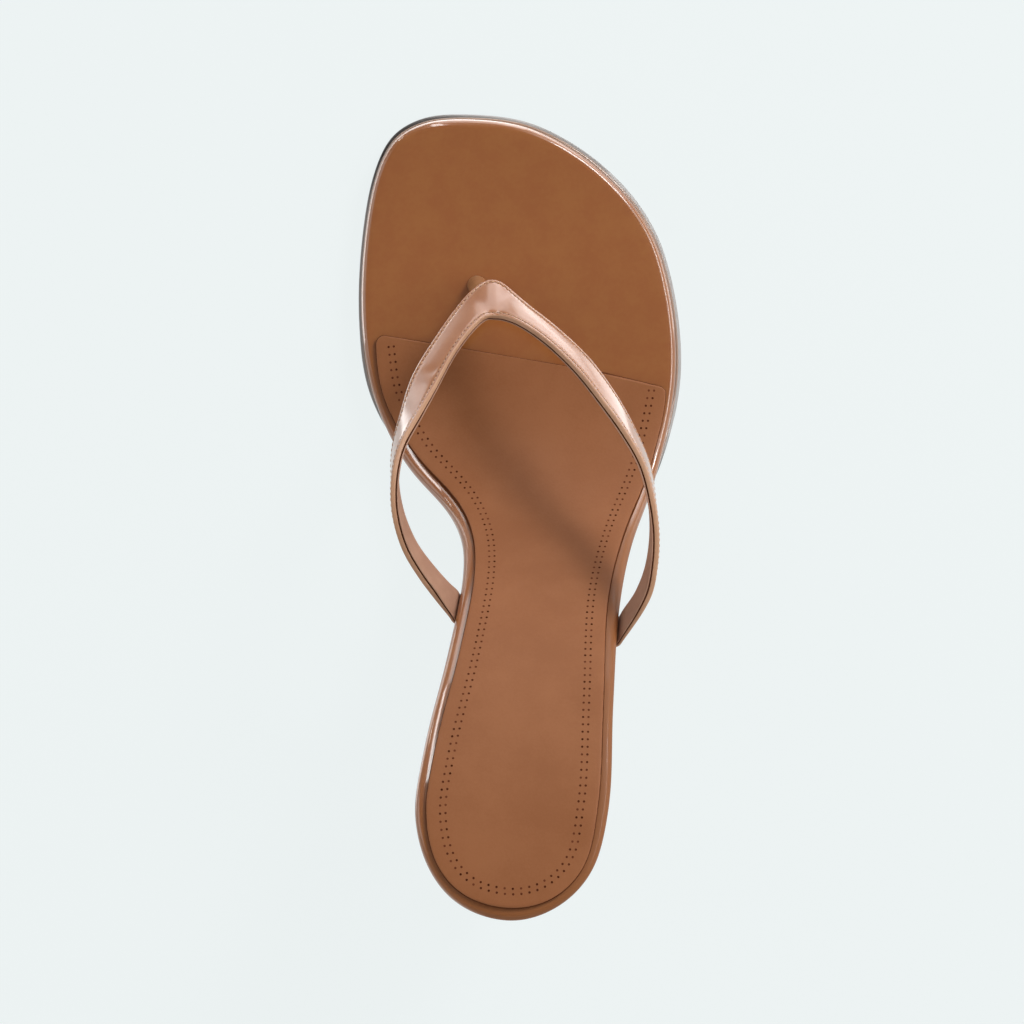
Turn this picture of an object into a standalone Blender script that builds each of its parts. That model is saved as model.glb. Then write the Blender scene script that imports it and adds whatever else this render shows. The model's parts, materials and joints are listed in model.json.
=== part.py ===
"""Toe post sandal with a slim heel, right shoe, women's EU 37.

Metres, +Z up, toe towards +Y, lateral side towards +X, standing on the floor at z = 0.
All sizes below are in millimetres. The sole layers are drawn as a flat pattern, station
along the footbed from the heel back and across from the shoe's middle, and then bent
along one side profile. Depth is measured down from the footbed's top, square to it.
"""

import math
from collections import namedtuple

import bmesh
import bpy
import numpy as np

MM = 0.001

# Air left between pieces that touch
GAP = 0.3

# Thickness of the layers
FOOTBED_THICK = 3.6
MIDSOLE_THICK = 2.0
MIDSOLE_FEATHER = 0.6
OUTSOLE_THICK = 2.2
SOCK_THICK = 1.1
STRAP_THICK = 2.2

# Stations where layers start, taper and stop
MIDSOLE_END = 138.0
MIDSOLE_FULL = 160.0
OUTSOLE_LEVEL = 124.0
OUTSOLE_DIP = 137.0
HEEL_BREAST = 44.0
OUTSOLE_END = 45.5
FOREFOOT_FLAT = 190.0

# Middle of the whole shoe, along the floor from the heel back
MIDDLE_ALONG = 110.0

# Sock pad: its slanted front and its rounded front corners
SOCK_FRONT_MEDIAL = 184.5
SOCK_FRONT_LATERAL = 170.2
SOCK_SLANT_START = 148.0
SOCK_CORNER = 2.6

# Side profile: slope of the footbed, in degrees, rising towards the heel
Slope = namedtuple("Slope", "station degrees")
PROFILE = (
    Slope(0.0, 7.0),
    Slope(20.0, 11.0),
    Slope(50.0, 27.0),
    Slope(80.0, 41.0),
    Slope(112.0, 48.0),
    Slope(128.0, 46.5),
    Slope(140.0, 37.0),
    Slope(150.0, 23.0),
    Slope(162.0, 7.5),
    Slope(173.0, 0.0),
    Slope(211.0, 0.0),
    Slope(230.0, -5.0),
    Slope(250.0, -11.0),
)

# Flat pattern of the footbed, how far the sock lies inside its edge, and how far the
# lower layers stand out past it
Edge = namedtuple("Edge", "place station across sock_in midsole_out outsole_out")
OUTLINE = (
    Edge("heel back", 0.0, -2.2, 3.0, -4.0, -4.0),
    Edge("medial heel corner", 4.0, -15.9, 2.6, -4.0, -4.0),
    Edge("medial heel", 13.4, -24.1, 2.2, -4.0, -4.0),
    Edge("medial seat", 28.0, -28.0, 2.8, -4.0, -4.0),
    Edge("medial seat front", 47.0, -25.7, 3.0, -4.0, -5.0),
    Edge("medial shank", 75.0, -20.0, 3.3, -4.0, -6.5),
    Edge("medial waist", 106.0, -15.7, 3.2, -4.0, -6.5),
    Edge("medial waist front", 122.0, -16.2, 2.8, -4.0, -6.5),
    Edge("medial flank", 134.0, -20.4, 2.7, -4.0, -6.0),
    Edge("medial ball start", 150.0, -32.7, 3.0, -2.0, -2.2),
    Edge("medial ball", 168.0, -41.2, 2.4, 0.3, 1.0),
    Edge("medial widest", 190.0, -44.5, 3.8, 0.3, 1.0),
    Edge("medial toe side", 217.0, -43.0, 3.8, 0.3, 1.0),
    Edge("medial toe shoulder", 232.0, -39.5, 3.0, 0.3, 1.0),
    Edge("toe corner", 240.1, -34.6, 3.0, 0.3, 1.1),
    Edge("toe corner end", 244.3, -26.4, 3.0, 0.3, 1.1),
    Edge("toe tip", 245.3, -16.0, 3.0, 0.3, 1.0),
    Edge("toe slant", 243.4, 1.0, 3.0, 0.5, 1.1),
    Edge("lateral toe", 235.9, 16.3, 3.0, 0.7, 1.4),
    Edge("lateral toe curve", 225.0, 29.1, 3.0, 0.8, 1.6),
    Edge("lateral toe bend", 214.0, 36.9, 3.0, 0.8, 1.6),
    Edge("lateral toe side", 202.0, 41.1, 3.0, 0.8, 1.6),
    Edge("lateral widest", 184.0, 43.87, 2.4, 0.9, 1.7),
    Edge("lateral ball", 168.0, 43.4, 2.0, 0.8, 1.6),
    Edge("lateral ball start", 148.0, 39.0, 1.8, -0.2, -0.2),
    Edge("lateral waist front", 122.0, 31.4, 2.2, -3.5, -5.5),
    Edge("lateral waist", 96.0, 27.3, 3.0, -4.0, -6.5),
    Edge("lateral shank", 60.0, 25.0, 2.5, -4.0, -6.5),
    Edge("lateral seat", 30.0, 23.5, 2.7, -4.0, -4.0),
    Edge("lateral heel", 13.0, 19.0, 2.2, -4.0, -4.0),
    Edge("lateral heel corner", 3.6, 9.8, 2.3, -4.0, -4.0),
)

# Edge shapes of the layers: inset from the outline and share of the thickness, top first
EdgeRing = namedtuple("EdgeRing", "inset share")
ROUND_RIM = (
    EdgeRing(2.0, 0.0),
    EdgeRing(1.15, 0.06),
    EdgeRing(0.5, 0.19),
    EdgeRing(0.1, 0.38),
    EdgeRing(0.0, 0.56),
    EdgeRing(0.0, 0.82),
    EdgeRing(0.3, 0.95),
    EdgeRing(0.9, 1.0),
)
WRAPPED_RIM = (
    EdgeRing(0.8, 0.0),
    EdgeRing(0.2, 0.15),
    EdgeRing(0.0, 0.45),
    EdgeRing(0.1, 0.85),
    EdgeRing(0.5, 1.0),
)
SOLE_RIM = (
    EdgeRing(0.5, 0.0),
    EdgeRing(0.0, 0.25),
    EdgeRing(0.1, 0.75),
    EdgeRing(0.7, 1.0),
)
SOCK_RIM = (
    EdgeRing(0.7, 0.0),
    EdgeRing(0.2, 0.2),
    EdgeRing(0.0, 0.6),
    EdgeRing(0.0, 1.0),
)

# Strap sections from the medial waist round the apex to the lateral waist.
# Tilt is the angle of the section from level, 90 standing on edge, over 90 leaning out.
Section = namedtuple("Section", "x y z width tilt")
STRAP_SECTIONS = (
    Section(-21.6, -22.9, 52.0, 10.2, 114.0),
    Section(-25.2, -18.4, 54.6, 10.2, 110.0),
    Section(-30.0, -10.9, 57.8, 10.2, 104.0),
    Section(-33.1, -1.4, 59.2, 10.2, 96.0),
    Section(-33.8, 8.1, 57.2, 10.2, 87.0),
    Section(-32.8, 16.1, 53.8, 10.2, 77.0),
    Section(-29.9, 24.1, 49.0, 10.0, 62.0),
    Section(-25.9, 33.8, 43.0, 9.6, 42.5),
    Section(-20.2, 44.1, 36.4, 8.9, 41.0),
    Section(-14.6, 51.9, 31.0, 9.6, 40.0),
    Section(-10.9, 55.6, 28.5, 10.8, 37.0),
    Section(-7.5, 57.0, 27.6, 13.6, 33.0),
    Section(-4.4, 55.6, 28.3, 10.8, 38.0),
    Section(0.8, 52.5, 31.3, 8.6, 46.0),
    Section(8.2, 46.9, 35.8, 8.0, 51.0),
    Section(16.7, 38.6, 41.3, 8.4, 54.0),
    Section(23.6, 29.4, 46.6, 8.8, 60.0),
    Section(29.4, 19.9, 52.2, 9.2, 71.0),
    Section(33.6, 10.9, 56.5, 9.8, 80.0),
    Section(35.6, 1.1, 59.2, 10.2, 87.0),
    Section(36.3, -8.4, 60.2, 10.2, 92.0),
    Section(35.4, -17.4, 59.2, 10.2, 97.0),
    Section(33.2, -24.6, 57.6, 10.2, 104.0),
)

# Strap ends: the station of their middle, and their path round the footbed's edge
MEDIAL_ANCHOR = 96.0
LATERAL_ANCHOR = 87.6
ANCHOR_WIDTH = 10.2
ANCHOR_THICK = 1.2
Tuck = namedtuple("Tuck", "out depth")
TUCK_PATH = (
    Tuck(-4.6, 4.6),
    Tuck(-0.9, 4.6),
    Tuck(0.6, 4.1),
    Tuck(1.0, 2.8),
)

# Rounded outline of a strap section
STRAP_EDGE_ROUND = 0.27
STRAP_CROWN = 0.25
STRAP_PIECES = 3

# Toe post
POST_BASE = (-12.0, 61.8)
POST_TOP = (-9.4, 57.9)
POST_RADIUS = 2.8
POST_SIDES = 16
POST_RINGS = 5
POST_CLEARANCE = 0.8

# Heel: share of the way down from the seat, back and front along the shoe, half width
HeelRing = namedtuple("HeelRing", "down back front half_width")
HEEL_RINGS = (
    HeelRing(0.00, 2.0, HEEL_BREAST, 22.8),
    HeelRing(0.12, 3.0, 37.0, 20.8),
    HeelRing(0.28, 5.2, 30.0, 16.6),
    HeelRing(0.46, 7.6, 25.6, 12.6),
    HeelRing(0.66, 9.6, 23.4, 9.8),
    HeelRing(0.86, 10.8, 22.6, 8.4),
    HeelRing(1.00, 11.2, 22.6, 8.0),
)
HEEL_MIDDLE = -1.7
HEEL_ROUND_SHARE = 0.62
HEEL_RUNGS = 12
HEEL_LEVELS = 15
HEEL_TIP_THICK = 5.6
HEEL_TIP_EDGE = 0.5

# Mesh density
OUTLINE_PIECES = 24
PROFILE_STEP = 0.25
STATION_STEP = 4.6
HEEL_END_RADIUS = 26.0
TOE_END_RADIUS = 14.0
END_STEPS = 8
SOCK_ACROSS = 5
SMOOTH_ANGLE = math.radians(40.0)
MITRE_LIMIT = 0.5

# Finishes: colour, roughness and metallic value
Finish = namedtuple("Finish", "colour roughness metallic")
FINISHES = {
    "outsole": Finish((0.035, 0.028, 0.024), 0.45, 0.0),
    "midsole": Finish((0.36, 0.18, 0.10), 0.15, 0.0),
    "footbed": Finish((0.28, 0.12, 0.05), 0.40, 0.0),
    "sock_pad": Finish((0.29, 0.13, 0.06), 0.50, 0.0),
    "strap": Finish((0.34, 0.16, 0.09), 0.12, 0.0),
    "toe_post": Finish((0.32, 0.15, 0.08), 0.20, 0.0),
    "heel": Finish((0.34, 0.16, 0.09), 0.12, 0.0),
    "heel_tip": Finish((0.030, 0.026, 0.024), 0.55, 0.0),
}


def eased(knots, values, wanted):
    """Smooth curve through (knot, value) pairs that never overshoots between two of them."""
    knots = np.asarray(knots, float)
    values = np.asarray(values, float)
    wanted = np.clip(np.asarray(wanted, float), knots[0], knots[-1])
    gaps = np.diff(knots)
    rates = np.diff(values) / gaps
    tangents = np.zeros(len(knots))
    agree = rates[:-1] * rates[1:] > 0
    means = 2 * rates[:-1] * rates[1:] / np.where(agree, rates[:-1] + rates[1:], 1.0)
    tangents[1:-1] = np.where(agree, means, 0.0)
    tangents[0] = rates[0]
    tangents[-1] = rates[-1]
    spot = np.clip(np.searchsorted(knots, wanted) - 1, 0, len(gaps) - 1)
    gap = gaps[spot]
    t = (wanted - knots[spot]) / gap
    return (
        values[spot] * (2 * t**3 - 3 * t**2 + 1)
        + values[spot + 1] * (3 * t**2 - 2 * t**3)
        + tangents[spot] * gap * (t**3 - 2 * t**2 + t)
        + tangents[spot + 1] * gap * (t**3 - t**2)
    )


def spline(rows, pieces, spread, closed=False):
    """Curve through the rows, with tangents from the two neighbours of each row.

    The first `spread` columns are the place, which sets the spacing along the curve.
    """
    rows = np.asarray(rows, float)
    if closed:
        rows = np.vstack([rows[-1], rows, rows[0], rows[1]])
    else:
        rows = np.vstack([2 * rows[0] - rows[1], rows, 2 * rows[-1] - rows[-2]])
    spacing = np.sqrt(np.linalg.norm(np.diff(rows[:, :spread], axis=0), axis=1))
    curve = []
    for i in range(1, len(rows) - 2):
        before, here, after = spacing[i - 1], spacing[i], spacing[i + 1]
        step = rows[i + 1] - rows[i]
        leave = (rows[i] - rows[i - 1]) / before - (rows[i + 1] - rows[i - 1]) / (before + here)
        leave = (leave + step / here) * here
        arrive = step / here - (rows[i + 2] - rows[i]) / (here + after)
        arrive = (arrive + (rows[i + 2] - rows[i + 1]) / after) * here
        for t in np.arange(pieces) / pieces:
            curve.append(
                rows[i] * (2 * t**3 - 3 * t**2 + 1)
                + rows[i + 1] * (3 * t**2 - 2 * t**3)
                + leave * (t**3 - 2 * t**2 + t)
                + arrive * (t**3 - t**2)
            )
    if not closed:
        curve.append(rows[-2])
    return np.array(curve)


def unit(vectors):
    return vectors / np.linalg.norm(vectors, axis=-1, keepdims=True)


def slope_at(station):
    """Slope of the footbed at a station, in radians."""
    stations = [row.station for row in PROFILE]
    return np.radians(eased(stations, [row.degrees for row in PROFILE], station))


TOE_REACH = max(edge.station + edge.outsole_out for edge in OUTLINE)


def side_profile():
    """Stations, and the place along the shoe and the height of the footbed's top at each."""
    stations = np.arange(PROFILE[0].station, PROFILE[-1].station, PROFILE_STEP)
    slopes = slope_at(stations + PROFILE_STEP / 2)
    along = np.concatenate([[0.0], np.cumsum(PROFILE_STEP * np.cos(slopes))[:-1]])
    fall = np.concatenate([[0.0], np.cumsum(PROFILE_STEP * np.sin(slopes))[:-1]])
    stack = FOOTBED_THICK + MIDSOLE_THICK + OUTSOLE_THICK + 2 * GAP
    flat = np.interp(FOREFOOT_FLAT, stations, fall)
    return stations, along - MIDDLE_ALONG, stack + flat - fall


PROFILE_STATIONS, PROFILE_ALONG, PROFILE_HEIGHT = side_profile()


def bend(station, across, depth):
    """Point of the flat pattern, at a depth under the footbed's top, on the bent sole."""
    slope = slope_at(station)
    along = np.interp(station, PROFILE_STATIONS, PROFILE_ALONG)
    height = np.interp(station, PROFILE_STATIONS, PROFILE_HEIGHT)
    return np.stack(
        np.broadcast_arrays(across, along - depth * np.sin(slope), height - depth * np.cos(slope)),
        axis=-1,
    )


def outward(ring):
    """Outward step at each point of a closed ring, longer where the ring turns a corner."""
    ahead = unit(np.roll(ring, -1, axis=0) - ring)
    behind = np.roll(ahead, 1, axis=0)
    tangent = unit(ahead + behind)
    normal = np.stack([tangent[:, 1], -tangent[:, 0]], axis=1)
    facing = np.sum(normal * (ring - ring.mean(axis=0)))
    mitre = np.maximum(MITRE_LIMIT, np.sum(tangent * ahead, axis=1))
    return np.sign(facing) * normal / mitre[:, None]


def layer_outline(layer):
    """Outline of one layer of the sole: the footbed's, moved by the layer's own column."""
    rows = [edge[1:] for edge in OUTLINE]
    curve = spline(rows, OUTLINE_PIECES, spread=2, closed=True)
    flat = curve[:, :2]
    if layer == "footbed":
        return flat
    sock_in, midsole_out, outsole_out = curve[:, 2:].T
    reach = {"sock_pad": -sock_in, "midsole": midsole_out, "outsole": outsole_out}
    return flat + outward(flat) * reach[layer][:, None]


def branches(outline):
    """The outline's medial and lateral halves, each as (station, across) from heel to toe."""
    heel = int(np.argmin(outline[:, 0]))
    ring = np.roll(outline, -heel, axis=0)
    toe = int(np.argmax(ring[:, 0]))
    medial = ring[: toe + 1]
    lateral = np.vstack([ring[toe:], ring[:1]])[::-1]
    return medial, lateral


def across_at(branch, stations):
    return np.interp(stations, np.maximum.accumulate(branch[:, 0]), branch[:, 1])


def run_of_stations(start, stop, round_start, round_stop):
    """Stations from start to stop, close together where an end is rounded by that radius."""
    turn = np.linspace(0.0, math.pi / 2, END_STEPS)
    first = start + round_start * (1 - np.cos(turn)) if round_start else np.array([start])
    last = stop - round_stop * (1 - np.cos(turn[::-1])) if round_stop else np.array([stop])
    count = max(2, round((last[0] - first[-1]) / STATION_STEP) + 1)
    middle = np.linspace(first[-1], last[0], count)
    return np.concatenate([first[:-1], middle, last[1:]])


def new_object(name, mesh_maker):
    """Closed mesh made by mesh_maker, with its faces out, as one smooth named object."""
    shape = bmesh.new()
    mesh_maker(shape)
    bmesh.ops.recalc_face_normals(shape, faces=shape.faces)
    mesh = bpy.data.meshes.new(name)
    shape.to_mesh(mesh)
    shape.free()
    mesh.shade_smooth()
    mesh.set_sharp_from_angle(angle=SMOOTH_ANGLE)
    mesh.materials.append(finish_material(name))
    piece = bpy.data.objects.new(name, mesh)
    bpy.context.scene.collection.objects.link(piece)
    return piece


def finish_material(name):
    finish = FINISHES[name]
    material = bpy.data.materials.new(name)
    material.use_nodes = True
    shader = material.node_tree.nodes["Principled BSDF"]
    shader.inputs["Base Color"].default_value = (*finish.colour, 1.0)
    shader.inputs["Roughness"].default_value = finish.roughness
    shader.inputs["Metallic"].default_value = finish.metallic
    return material


def add_points(shape, points):
    return [shape.verts.new(point * MM) for point in points]


def add_face(shape, corners):
    """Face on the corners, leaving out a corner that repeats."""
    kept = list(dict.fromkeys(corners))
    if len(kept) > 2:
        shape.faces.new(kept)


def join_rings(shape, first, second):
    for i in range(len(first)):
        j = (i + 1) % len(first)
        add_face(shape, (first[i], first[j], second[j], second[i]))


def between(start, stop, steps):
    """Points that part the line from start to stop into this many steps, ends left out."""
    return [start + (stop - start) * step / steps for step in range(1, steps)]


def plate(name, medial, lateral, rim, top, thick, across_steps=1):
    """Layer of the sole between matching medial and lateral points, heel to toe.

    top and thick give the depth of its upper face and its thickness at a station. Where
    an end's two points are one, the layer is round there, and otherwise cut straight.
    """
    round_heel = np.allclose(medial[0], lateral[0])
    round_toe = np.allclose(medial[-1], lateral[-1])
    toe_cut = [] if round_toe else [*between(medial[-1], lateral[-1], across_steps), lateral[-1]]
    heel_cut = [] if round_heel else [lateral[0], *between(lateral[0], medial[0], across_steps)]
    ring = np.array([*medial, *toe_cut, *lateral[-2:0:-1], *heel_cut])
    facing = outward(ring)
    last = len(medial) - 1
    lateral_start = last + len(toe_cut)

    def place(flat, share):
        station, across = flat[..., 0], flat[..., 1]
        return bend(station, across, top(station) + share * thick(station))

    def rung(shape, flat, verts, share, i):
        """Points across the layer at one pair of matching points."""
        if i == 0:
            return [verts[0], *verts[:-len(heel_cut) - 1:-1]] if heel_cut else [verts[0]]
        if i == last:
            return verts[last : lateral_start + 1]
        end = lateral_start + last - i
        inner = [place(point, share) for point in between(flat[i], flat[end], across_steps)]
        return [verts[i], *add_points(shape, inner), verts[end]]

    def close(shape, flat, verts, share):
        rungs = [rung(shape, flat, verts, share, i) for i in range(last + 1)]
        for near, far in zip(rungs, rungs[1:]):
            for j in range(across_steps):
                steps = ((near, j), (near, j + 1), (far, j + 1), (far, j))
                add_face(shape, [row[min(k, len(row) - 1)] for row, k in steps])

    def make(shape):
        rings = []
        for row in rim:
            flat = ring - facing * row.inset
            rings.append((flat, add_points(shape, place(flat, row.share)), row.share))
        for (_, first, _), (_, second, _) in zip(rings, rings[1:]):
            join_rings(shape, first, second)
        close(shape, *rings[0])
        close(shape, *rings[-1])

    return new_object(name, make)


def constant(value):
    return lambda station: np.full_like(np.asarray(station, float), value)


def midsole_thick(station):
    """Full under the forefoot, thinning to a feather edge behind the ball."""
    return eased(
        (MIDSOLE_END, MIDSOLE_FULL, TOE_REACH),
        (MIDSOLE_FEATHER, MIDSOLE_THICK, MIDSOLE_THICK),
        station,
    )


def outsole_top(station):
    """Under the midsole at the forefoot, and close under the footbed at the waist."""
    under_midsole = eased(
        (OUTSOLE_LEVEL, OUTSOLE_DIP, MIDSOLE_FULL, TOE_REACH),
        (0.0, MIDSOLE_FEATHER + GAP, MIDSOLE_THICK + GAP, MIDSOLE_THICK + GAP),
        station,
    )
    return FOOTBED_THICK + GAP + under_midsole


def matched(outline, stations):
    """Points of both halves of an outline at the same stations."""
    medial, lateral = branches(outline)
    return (
        np.stack([stations, across_at(medial, stations)], axis=1),
        np.stack([stations, across_at(lateral, stations)], axis=1),
    )


def build_footbed():
    outline = layer_outline("footbed")
    low, high = outline[:, 0].min(), outline[:, 0].max()
    stations = run_of_stations(low, high, HEEL_END_RADIUS, TOE_END_RADIUS)
    medial, lateral = matched(outline, stations)
    lateral[0] = medial[0]
    lateral[-1] = medial[-1]
    return plate("footbed", medial, lateral, ROUND_RIM, constant(0.0), constant(FOOTBED_THICK))


def build_forefoot_layer(name, start, rim, top, thick):
    """A layer from a straight cut at a station to the rounded toe."""
    outline = layer_outline(name)
    stations = run_of_stations(start, outline[:, 0].max(), 0.0, TOE_END_RADIUS)
    medial, lateral = matched(outline, stations)
    lateral[-1] = medial[-1]
    return plate(name, medial, lateral, rim, top, thick)


def rounded_corner(stations, stop):
    """How far an edge draws in near its cut end, for a quarter circle at the corner."""
    past = np.clip((stations - (stop - SOCK_CORNER)) / SOCK_CORNER, 0.0, 1.0)
    return SOCK_CORNER * (1 - np.sqrt(1 - past**2))


def build_sock_pad():
    outline = layer_outline("sock_pad")
    stations = run_of_stations(
        outline[:, 0].min(), SOCK_FRONT_MEDIAL, HEEL_END_RADIUS, SOCK_CORNER
    )
    slant = np.clip((stations - SOCK_SLANT_START) / (SOCK_FRONT_MEDIAL - SOCK_SLANT_START), 0.0, 1.0)
    lateral_stations = stations - slant * (SOCK_FRONT_MEDIAL - SOCK_FRONT_LATERAL)
    medial, _ = matched(outline, stations)
    _, lateral = matched(outline, lateral_stations)
    medial[:, 1] += rounded_corner(stations, SOCK_FRONT_MEDIAL)
    lateral[:, 1] -= rounded_corner(lateral_stations, SOCK_FRONT_LATERAL)
    lateral[0] = medial[0]
    return plate(
        "sock_pad",
        medial,
        lateral,
        SOCK_RIM,
        constant(-GAP - SOCK_THICK),
        constant(SOCK_THICK),
        SOCK_ACROSS,
    )


def anchor_rows(station, side):
    """Strap sections round the footbed's edge at one end, from under it to beside it.

    Each row holds the section's middle, its direction, which runs along the edge here, its
    width and its thickness.
    """
    branch = branches(layer_outline("footbed"))[0 if side < 0 else 1]
    ends = station + np.array([1.0, -1.0]) * ANCHOR_WIDTH / 2
    front, rear = bend(ends, across_at(branch, ends), 0.0)
    edge = across_at(branch, station)
    rows = []
    for tuck in TUCK_PATH:
        middle = bend(station, edge + side * tuck.out, tuck.depth)
        rows.append((*middle, *unit(rear - front), ANCHOR_WIDTH, ANCHOR_THICK))
    return rows


def section_rows():
    """The strap's own sections in the form of anchor_rows, level across the strap's run."""
    table = np.array(STRAP_SECTIONS)
    run = np.gradient(table[:, :2], axis=0)
    inward = unit(np.stack([run[:, 1], -run[:, 0]], axis=1))
    tilt = np.radians(table[:, 4:5])
    thick = np.full_like(tilt, STRAP_THICK)
    return np.hstack([table[:, :3], inward * np.cos(tilt), np.sin(tilt), table[:, 3:4], thick])


def strap_frames():
    """Middle, section direction, face direction, width and thickness along the strap."""
    rows = np.vstack(
        [
            anchor_rows(MEDIAL_ANCHOR, -1),
            section_rows(),
            anchor_rows(LATERAL_ANCHOR, 1)[::-1],
        ]
    )
    curve = spline(rows, STRAP_PIECES, spread=3)
    middle = curve[:, :3]
    section = unit(curve[:, 3:6])
    face = unit(np.cross(section, np.gradient(middle, axis=0)))
    return middle, section, face, curve[:, 6], curve[:, 7]


def strap_outline(width, thick):
    """Corners of a strap section: across it, and out through its face."""
    half = width / 2
    deep = thick / 2
    inner_half = half - STRAP_EDGE_ROUND * thick
    inner_deep = deep - STRAP_EDGE_ROUND * thick
    return (
        (-inner_half, deep),
        (0.0, deep + STRAP_CROWN),
        (inner_half, deep),
        (half, inner_deep),
        (half, -inner_deep),
        (inner_half, -deep),
        (0.0, -deep),
        (-inner_half, -deep),
        (-half, -inner_deep),
        (-half, inner_deep),
    )


def build_strap():
    def make(shape):
        rings = []
        for middle, section, face, width, thick in zip(*strap_frames()):
            corners = strap_outline(width, thick)
            points = [middle + section * u + face * v for u, v in corners]
            rings.append(add_points(shape, points))
        for first, second in zip(rings, rings[1:]):
            join_rings(shape, first, second)
        shape.faces.new(rings[0])
        shape.faces.new(rings[-1])

    return new_object("strap", make)


def build_toe_post():
    """Round post from the footbed to the underside of the strap's apex."""
    middles, _, faces, _, _ = strap_frames()
    apex = int(np.argmax(middles[:, 1]))
    under = middles[apex] - faces[apex] * (STRAP_THICK / 2 + POST_CLEARANCE)
    base_height = bend(FOREFOOT_FLAT, 0.0, -GAP)[2]
    base = np.array([*POST_BASE, base_height])
    top = np.array([*POST_TOP, 0.0])
    turns = np.linspace(0.0, 2 * math.pi, POST_SIDES, endpoint=False)
    circle = POST_RADIUS * np.stack([np.cos(turns), np.sin(turns), 0 * turns], axis=1)
    end = top + circle
    level = faces[apex]
    end[:, 2] = under[2] - ((end[:, :2] - under[:2]) @ level[:2]) / level[2]

    def make(shape):
        start = base + circle
        rings = []
        for share in np.linspace(0.0, 1.0, POST_RINGS):
            rings.append(add_points(shape, start + (end - start) * share))
        for first, second in zip(rings, rings[1:]):
            join_rings(shape, first, second)
        shape.faces.new(rings[0])
        shape.faces.new(rings[-1])

    return new_object("toe_post", make)


def heel_outline(ring):
    """Rung stations of a heel section along the shoe, and its half width at each."""
    shares = 1 - np.cos(np.linspace(0.0, math.pi / 2, HEEL_RUNGS))
    past = 1 - np.clip(shares / HEEL_ROUND_SHARE, 0.0, 1.0)
    along = ring.back + (ring.front - ring.back) * shares
    return along, ring.half_width * np.sqrt(1 - past**2)


def heel_levels():
    """Heel sections from the seat down, on smooth curves through the named ones."""
    table = np.array(HEEL_RINGS)
    downs = np.linspace(0.0, 1.0, HEEL_LEVELS)
    columns = [eased(table[:, 0], table[:, i], downs) for i in range(1, table.shape[1])]
    return [HeelRing(*values) for values in zip(downs, *columns)]


def heel_ring(ring, floor):
    """Points of one heel section, medial side from the back and then lateral side to it."""
    along, half = heel_outline(ring)
    depth = FOOTBED_THICK + GAP
    seat = bend(along, 0.0, depth)
    back_of_shoe = PROFILE_ALONG[0]
    y = seat[:, 1] * (1 - ring.down) + (back_of_shoe + along) * ring.down
    z = seat[:, 2] * (1 - ring.down) + floor * ring.down
    medial = np.stack([HEEL_MIDDLE - half, y, z], axis=1)
    lateral = np.stack([HEEL_MIDDLE + half, y, z], axis=1)
    return np.vstack([medial, lateral[:0:-1]])


def close_rungs(shape, verts):
    """Closes a heel section with faces between its medial and lateral points."""
    count = len(verts)
    for i in range(HEEL_RUNGS - 1):
        near = (count - i) % count
        far = count - i - 1
        add_face(shape, (verts[i], verts[near], verts[far], verts[i + 1]))


def build_heel():
    floor = HEEL_TIP_THICK + GAP

    def make(shape):
        rings = [add_points(shape, heel_ring(ring, floor)) for ring in heel_levels()]
        for first, second in zip(rings, rings[1:]):
            join_rings(shape, first, second)
        close_rungs(shape, rings[0])
        close_rungs(shape, rings[-1])

    return new_object("heel", make)


def build_heel_tip():
    last = HEEL_RINGS[-1]
    smaller = last._replace(
        back=last.back + HEEL_TIP_EDGE,
        front=last.front - HEEL_TIP_EDGE,
        half_width=last.half_width - HEEL_TIP_EDGE,
    )
    stack = (
        (last, HEEL_TIP_THICK),
        (last, HEEL_TIP_EDGE),
        (smaller, 0.0),
    )

    def make(shape):
        rings = [add_points(shape, heel_ring(ring, height)) for ring, height in stack]
        for first, second in zip(rings, rings[1:]):
            join_rings(shape, first, second)
        close_rungs(shape, rings[0])
        close_rungs(shape, rings[-1])

    return new_object("heel_tip", make)


def main():
    for item in list(bpy.data.objects):
        bpy.data.objects.remove(item, do_unlink=True)
    build_footbed()
    build_forefoot_layer(
        "midsole", MIDSOLE_END, WRAPPED_RIM, constant(FOOTBED_THICK + GAP), midsole_thick
    )
    build_forefoot_layer(
        "outsole", OUTSOLE_END, SOLE_RIM, outsole_top, constant(OUTSOLE_THICK)
    )
    build_sock_pad()
    build_strap()
    build_toe_post()
    build_heel()
    build_heel_tip()


main()
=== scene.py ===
"""Looks of a heeled toe post sandal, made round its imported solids.

Metres, in the frame of the solids: +Z up, toe towards +Y, lateral side towards +X.
"""

import json
import math
from collections import namedtuple

import bmesh
import bpy
import numpy as np
from mathutils import Matrix, Vector
from mathutils.bvhtree import BVHTree

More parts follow.
